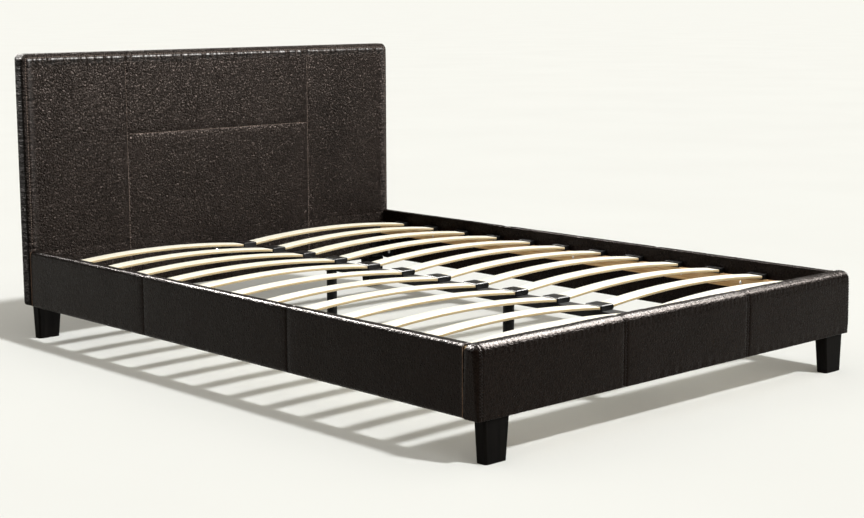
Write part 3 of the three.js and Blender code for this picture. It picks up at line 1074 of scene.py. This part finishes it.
def make_slat(node):
    """The outline at each angle: its height is added to the radius, about the arc's centre."""
    low, high, middle, radius, centre_z = slat_arc(node)
    sweep = math.asin((high[0] - low[0] - SLAT_PLAY) / 2 / radius)
    angle = np.linspace(-sweep, sweep, SLAT_STEPS + 1)[:, None]
    outline = rounded_outline((high[1] - low[1]) / 2, SLAT_THICK / 2, SLAT_EASE)
    reach = radius + SLAT_THICK / 2 + outline[None, :, 1]
    x = middle[0] + reach * np.sin(angle)
    z = centre_z + reach * np.cos(angle)
    y = np.broadcast_to(middle[1] + outline[None, :, 0], x.shape)
    points = np.stack([np.clip(x, low[0], high[0]), y, z], axis=-1)
    faces, caps = tube_faces(len(angle), len(outline))
    made = piece(f"birch_{node}", points, faces, birch_finish, (node,), caps)
    ply = np.broadcast_to(outline[None, :, 1] / SLAT_THICK + 0.5, x.shape)
    add_attribute(made, "ply", ply)
    return made


slat_nodes = sorted(
    name for name in nodes if name.startswith("slat_") and name.split("_")[-1].isdigit()
)
for node in slat_nodes:
    make_slat(node)
print(len(slat_nodes), "slats")

# %% [markdown]
# ## Slat holders along the ledges
# Each outer slat tip sits in a black plastic pocket on the ledge. A pocket is a sock: one tube that
# starts at its closed end, runs along the outside, turns in at the mouth and comes back along the
# inside. The mouth follows the slat, which climbs towards the middle of the bed.


# %% Outer holders
SOCK_SIDE, SOCK_EASE, SOCK_PLAY, SOCK_FLOOR = 0.0040, 0.0008, 0.0003, 0.0033


def holder_rings(node, strip, hand):
    """Rings of one sock: outline sizes and heights at each station, from the rail to the mouth.
    The slat's height at a station comes from its arc, centre + sqrt(radius^2 - distance^2)."""
    low, high, middle, radius, centre_z = slat_arc(node)
    strip_low, strip_high = corners(strip)
    mouth, wall = sorted((abs(strip_low[0]), abs(strip_high[0])))
    half_deep, half_high = (high[1] - low[1]) / 2, (strip_high[2] - strip_low[2]) / 2
    centre = (strip_low[2] + strip_high[2]) / 2

    def tip(at):
        return centre_z + math.sqrt((radius + SLAT_THICK / 2) ** 2 - (at - abs(middle[0])) ** 2)

    deep = half_deep + SOCK_SIDE
    outside = rounded_outline(deep, half_high, 0.0030)
    eased = rounded_outline(deep - SOCK_EASE, half_high - SOCK_EASE, 0.0024)
    inside = rounded_outline(half_deep + SOCK_PLAY, SLAT_THICK / 2 + SOCK_PLAY, 0.0018)
    floor = wall - SOCK_FLOOR
    places = [(wall, eased, centre), (wall - SOCK_EASE, outside, centre),
              (mouth + 0.0009, outside, centre), (mouth, eased, centre),
              (mouth + 0.0002, inside, tip(mouth)), (floor, inside, tip(floor))]
    rings = np.array([
        np.column_stack([np.full(len(ring), hand * at), middle[1] + ring[:, 0], z + ring[:, 1]])
        for at, ring, z in places
    ])
    return rings if hand < 0 else rings[:, ::-1]


for side, hand in HANDS:
    strip = f"slat_holder_strip_{side}"
    own = [node for node in slat_nodes if f"_{side}_" in node]
    socks = np.array([holder_rings(node, strip, hand) for node in own])
    faces, caps = tube_faces(socks.shape[1], socks.shape[2], len(socks))
    piece(f"slat_holders_{side}", socks, faces, plastic_finish, (strip,), caps)
    print(f"slat_holders_{side}", len(socks), "pockets")

# %% [markdown]
# ## Turned pieces
# Middle legs, bolt heads and screws are all a profile turned about an axis. A profile is a list of
# radius and height pairs. A bolt head ends in a socket, which is a last step inwards.


# %% Turn a profile about an axis
def turned(profile, places, axis, sides):
    """Rings of circles: place + axis * height + (cos, sin) * radius, across the axis."""
    radius, height = np.array(profile, float).T
    axis = np.array(axis, float)
    across = np.array([0.0, 0.0, 1.0]) if abs(axis[2]) < 0.5 else np.array([1.0, 0.0, 0.0])
    other = np.cross(axis, across)
    turn = np.arange(sides) * 2 * math.pi / sides
    circle = np.cos(turn)[:, None] * across + np.sin(turn)[:, None] * other
    rings = axis * height[:, None, None] + circle[None] * radius[:, None, None]
    return np.array(places)[:, None, None, :] + rings[None]


def turned_piece(name, profile, spots, sides, finish, stands_for=()):
    """One object from several spots, each a list of places and the axis they share."""
    rings = np.concatenate([turned(profile, places, axis, sides) for places, axis in spots])
    faces, caps = tube_faces(len(profile), sides, len(rings))
    return piece(name, rings, faces, finish, stands_for, caps, math.radians(35))


# %% Middle legs
for name in ("centre_leg_head", "centre_leg_foot"):
    low, high = corners(name)
    top = high[2] - low[2]
    profile = [(0.0200, 0), (0.0210, 0.001), (0.0210, 0.0065), (0.0195, 0.0080), (0.0170, 0.0084),
               (0.0170, top - 0.0044), (0.0240, top - 0.0040), (0.0240, top)]
    foot = [((low[0] + high[0]) / 2, (low[1] + high[1]) / 2, low[2])]
    turned_piece(
        f"round_{name}", profile, [(foot, (0, 0, 1))], 40, paint_finish, (name,)
    )
print("middle legs stand", round(top, 3), "m high")

# %% Bolts and screws
BOLT = [(0.0062, 0), (0.0066, 0.0006), (0.0060, 0.0020), (0.0044, 0.0033), (0.0026, 0.0036),
        (0.0025, 0.0016)]
SCREW = [(0.0042, 0), (0.0043, 0.0003), (0.0034, 0.0010), (0.0016, 0.0013), (0.0014, 0.0006)]
PLATE, BOLT_MARGIN, BOLT_ASIDE, RAIL_BOLT_MARGIN = 0.003, 0.020, 0.008, 0.014
SCREW_MARGIN, SCREWS_A_SIDE = 0.06, 9


def bracket_bolts(end, into_bed, side, hand):
    """Two bolts through each leaf of a bracket: one leaf on the rail, one on the end board."""
    low, high = corners(f"corner_bracket_{end}_{side}")
    wall_x = hand * (max(abs(low[0]), abs(high[0])) - PLATE)
    wall_y = (low[1] if into_bed > 0 else high[1]) + into_bed * PLATE
    middle = (low + high) / 2
    heights = (low[2] + BOLT_MARGIN, high[2] - BOLT_MARGIN)
    on_rail = [(wall_x, middle[1] + into_bed * BOLT_ASIDE, z) for z in heights]
    on_board = [(middle[0] - hand * BOLT_ASIDE, wall_y, z) for z in heights]
    return [(on_rail, (-hand, 0, 0)), (on_board, (0, into_bed, 0))]


def rail_bolts(into_bed):
    """Two bolts through an end plate of the centre rail."""
    low, high = corners("centre_rail")
    wall_y = (low[1] if into_bed > 0 else high[1]) + into_bed * PLATE
    height = (low[2] + high[2]) / 2
    across = (low[0] + RAIL_BOLT_MARGIN, high[0] - RAIL_BOLT_MARGIN)
    return [([(x, wall_y, height) for x in across], (0, into_bed, 0))]


def ledge_screws(side, hand):
    """A row of screws at an even pitch along the inner face of a ledge."""
    low, high = corners(f"slat_ledge_{side}")
    inner_x = min(abs(low[0]), abs(high[0])) * hand
    along = np.linspace(low[1] + SCREW_MARGIN, high[1] - SCREW_MARGIN, SCREWS_A_SIDE)
    return [([(inner_x, y, (low[2] + high[2]) / 2) for y in along], (-hand, 0, 0))]


ends = (("foot", 1), ("head", -1))
bolts = [spot for end in ends for hand in HANDS for spot in bracket_bolts(*end, *hand)]
bolts += [spot for _, into_bed in ends for spot in rail_bolts(into_bed)]
screws = [spot for hand in HANDS for spot in ledge_screws(*hand)]
turned_piece("bolts", BOLT, bolts, 18, zinc_finish)
turned_piece("ledge_screws", SCREW, screws, 12, zinc_finish)
print("bolts and screws in", len(bolts) + len(screws), "groups")

# %% [markdown]
# ## Piping at the corners and staples at the back
# Where a rail meets the boards at its ends a thin light brown line shows, made here as a light
# brown piping that runs up the corner and over the rounded top. At the back, staples hold the
# black lining round its edge.

# %% Piping and staples
PIPING, PIPING_SIDES, CLIMB_STEPS = 0.0011, 8, 8


def piping(hand, at):
    """A thin tube. The path climbs straight up and then follows the ellipse of the rail's top
    edge; a ring lies across the path's direction."""
    cover = rail_covers["right"]
    wide, tall = cover.far[0], cover.far[2]
    x, low, high = cover.high[0] - 0.0003, cover.low[2] + 0.003, cover.high[2] - 0.0003
    rise = np.linspace(low, high - tall, CLIMB_STEPS)
    bend = np.linspace(0.0, math.radians(80), CLIMB_STEPS + 1)[1:]
    px = np.concatenate([np.full(CLIMB_STEPS, x), x - wide + wide * np.cos(bend)]) * hand
    pz = np.concatenate([rise, high - tall + tall * np.sin(bend)])
    path = np.column_stack([px, np.full(len(px), at), pz])
    along = np.gradient(path, axis=0)
    along /= np.linalg.norm(along, axis=1, keepdims=True)
    first = np.array([0.0, 1.0, 0.0])
    second = np.cross(along, first)
    turn = np.arange(PIPING_SIDES) * 2 * math.pi / PIPING_SIDES
    circle = np.cos(turn)[None, :, None] * first + np.sin(turn)[None, :, None] * second[:, None]
    return path[:, None] + circle * PIPING


# A light brown colour for the thin line along each corner joint.
piping_finish = timber(
    "light_brown_line", (0.060, 0.036, 0.024), (0.17, 0.105, 0.070), (90.0, 90.0, 40.0), 0.7
)
rail_low, rail_high = corners("side_rail_cover_right")
tubes = np.array([piping(hand, at) for hand in (-1, 1) for at in (rail_low[1], rail_high[1])])
faces, caps = tube_faces(tubes.shape[1], PIPING_SIDES, len(tubes))
piece("corner_piping", tubes, faces, piping_finish, (), caps)


STAPLE_INSET, STAPLE_HALF, STAPLE_THICK, STAPLE_START = 0.008, 0.005, 0.0006, 0.03
STAPLES_ACROSS, STAPLES_UP = 28, 15


def staples():
    """Short bars round the lining, each a tube of two hexagons along the edge it holds."""
    low, high = corners("headboard_lining")
    left, bottom = low[0] + STAPLE_INSET, low[2] + STAPLE_INSET
    right, top = high[0] - STAPLE_INSET, high[2] - STAPLE_INSET
    across = np.linspace(left + STAPLE_START, right - STAPLE_START, STAPLES_ACROSS)
    up = np.linspace(bottom + STAPLE_START, top - STAPLE_START, STAPLES_UP)
    flat = [(x, z, 1.0, 0.0) for z in (bottom, top) for x in across]
    flat += [(x, z, 0.0, 1.0) for x in (left, right) for z in up]
    x, z, dx, dz = np.array(flat).T
    middle = np.column_stack([x, np.full(len(x), high[1] - 0.0001), z])
    along = np.column_stack([dx, np.zeros(len(x)), dz])
    out = np.array([0.0, 1.0, 0.0])
    side = np.cross(out, along)
    turn = np.arange(6) * math.pi / 3
    circle = out * np.cos(turn)[None, :, None] + side[:, None] * -np.sin(turn)[None, :, None]
    ends = np.stack([middle - along * STAPLE_HALF, middle + along * STAPLE_HALF], axis=1)
    return ends[:, :, None] + circle[:, None] * STAPLE_THICK


bars = staples()
faces, caps = tube_faces(2, 6, len(bars))
piece("lining_staples", bars, faces, zinc_finish, (), caps, math.pi)
print(len(bars), "staples and", len(tubes), "runs of piping")

# %% [markdown]
# ## Finishes for the parts that keep their own shape
# Boards, ledges, caps, the centre rail and the brackets are right as they are in the frame, so they
# only receive a finish. The fixed meshes hold loose triangles, and a material slot is all that
# changes on them.

# %% Finish the fixed parts
PLAIN_PARTS = {
    "centre_cap": plastic_finish,
    "centre_rail": paint_finish,
    "corner_bracket": paint_finish,
    "corner_leg": leg_finish,
    "headboard_board": board_finish,
    "headboard_lining": lining_finish,
    "footboard_board": board_finish,
    "side_rail_board": board_finish,
    "slat_ledge": ledge_finish,
}
plain = [(node, finish) for start, finish in PLAIN_PARTS.items()
         for name, node in nodes.items() if name.startswith(start)]
for node, finish in plain:
    node.data.materials.clear()
    node.data.materials.append(finish)
print(len(plain), "fixed parts finished")

# %% [markdown]
# ## Floor and light
# A very large pale floor runs past the top of the view. One soft sun from the foot end, the right
# and above makes the shadows. The sky is bright overhead and dark at the horizon, so dark leather
# seen at a low angle stays dark. Three lamps only make highlights: they draw the gleam along the
# rounded edges, and matt surfaces and shadows don't see them.

# %% Floor, sun and sky
FLOOR_HALF = 600.0
SKY_STOPS = ((0.15, (0.03, 0.028, 0.025, 1.0)), (0.95, (1.0, 0.95, 0.86, 1.0)))
SKY_STRENGTH, BACKDROP = 1.0, (0.97, 0.97, 0.94, 1.0)
KEY_COLOR, GLEAM_COLOR = (1.0, 1.0, 0.985), (1.0, 0.98, 0.95)


def make_floor():
    """A square of pale matt board, with no gloss of its own."""
    finish = Finish("floor", Specular_IOR_Level=0.0)
    dust = finish.noise(0.8, 3.0)
    shade = finish.ramp(dust, (0.3, (0.700, 0.712, 0.700)), (0.7, (0.718, 0.731, 0.719)))
    ways = ((-1, -1), (1, -1), (1, 1), (-1, 1))
    square = [(x * FLOOR_HALF, y * FLOOR_HALF, 0.0) for x, y in ways]
    floor = mesh_object("floor", square, [(0, 1, 2, 3)])
    floor.data.materials.append(finish.paint(Base_Color=shade, Roughness=0.85 + dust * 0.05))


def make_lamp(kind, name, place, target, energy, color, gloss_only=False, **settings):
    """A lamp turned to its target; one for gloss only leaves matt surfaces and shadows alone."""
    data = bpy.data.lights.new(name, kind)
    data.energy, data.color = energy, color
    for key, value in settings.items():
        setattr(data, key, value)
    lamp = bpy.data.objects.new(name, data)
    lamp.location = place
    lamp.rotation_euler = (Vector(target) - Vector(place)).to_track_quat("-Z", "Y").to_euler()
    lamp.visible_diffuse = not gloss_only
    bpy.context.scene.collection.objects.link(lamp)


def make_sky():
    """Bright overhead and dark at the horizon, so that flat tops seen at a low angle stay dark.
    The camera itself sees a plain pale backdrop."""
    sky = bpy.context.scene.world or bpy.data.worlds.new("sky")
    bpy.context.scene.world = sky
    sky.use_nodes = True
    tree = sky.node_tree
    tree.nodes.clear()
    way = tree.nodes.new("ShaderNodeTexCoord")
    apart = tree.nodes.new("ShaderNodeSeparateXYZ")
    fade = tree.nodes.new("ShaderNodeValToRGB")
    for element, (at, color) in zip(fade.color_ramp.elements, SKY_STOPS):
        element.position, element.color = at, color
    over, backdrop = tree.nodes.new("ShaderNodeBackground"), tree.nodes.new("ShaderNodeBackground")
    over.inputs["Strength"].default_value = SKY_STRENGTH
    backdrop.inputs["Color"].default_value = BACKDROP
    path, mix = tree.nodes.new("ShaderNodeLightPath"), tree.nodes.new("ShaderNodeMixShader")
    output = tree.nodes.new("ShaderNodeOutputWorld")
    for source, target in (
        (way.outputs["Generated"], apart.inputs["Vector"]),
        (apart.outputs["Z"], fade.inputs["Fac"]),
        (fade.outputs["Color"], over.inputs["Color"]),
        (path.outputs["Is Camera Ray"], mix.inputs["Fac"]),
        (over.outputs["Background"], mix.inputs[1]),
        (backdrop.outputs["Background"], mix.inputs[2]),
        (mix.outputs["Shader"], output.inputs["Surface"]),
    ):
        tree.links.new(source, target)


make_floor()
make_sky()
make_lamp("SUN", "key", (0.24, -0.72, 1.0), (0.0, 0.0, 0.0), 2.7, KEY_COLOR, angle=math.radians(5))
for name, place, target, energy, size in (
    ("right_front", (2.0, -1.9, 2.35), (0.0, 0.2, 0.4), 720.0, 1.4),
    ("over_bed", (1.0, -0.6, 2.2), (0.0, 1.0, 0.9), 700.0, 1.5),
    ("behind_head", (-0.7, 3.75, 3.5), (-0.5, 0.0, 0.3), 2000.0, 1.0),
):
    make_lamp("AREA", name, place, target, energy, GLEAM_COLOR, gloss_only=True, size=size)
bpy.context.scene.view_settings.view_transform = "Standard"
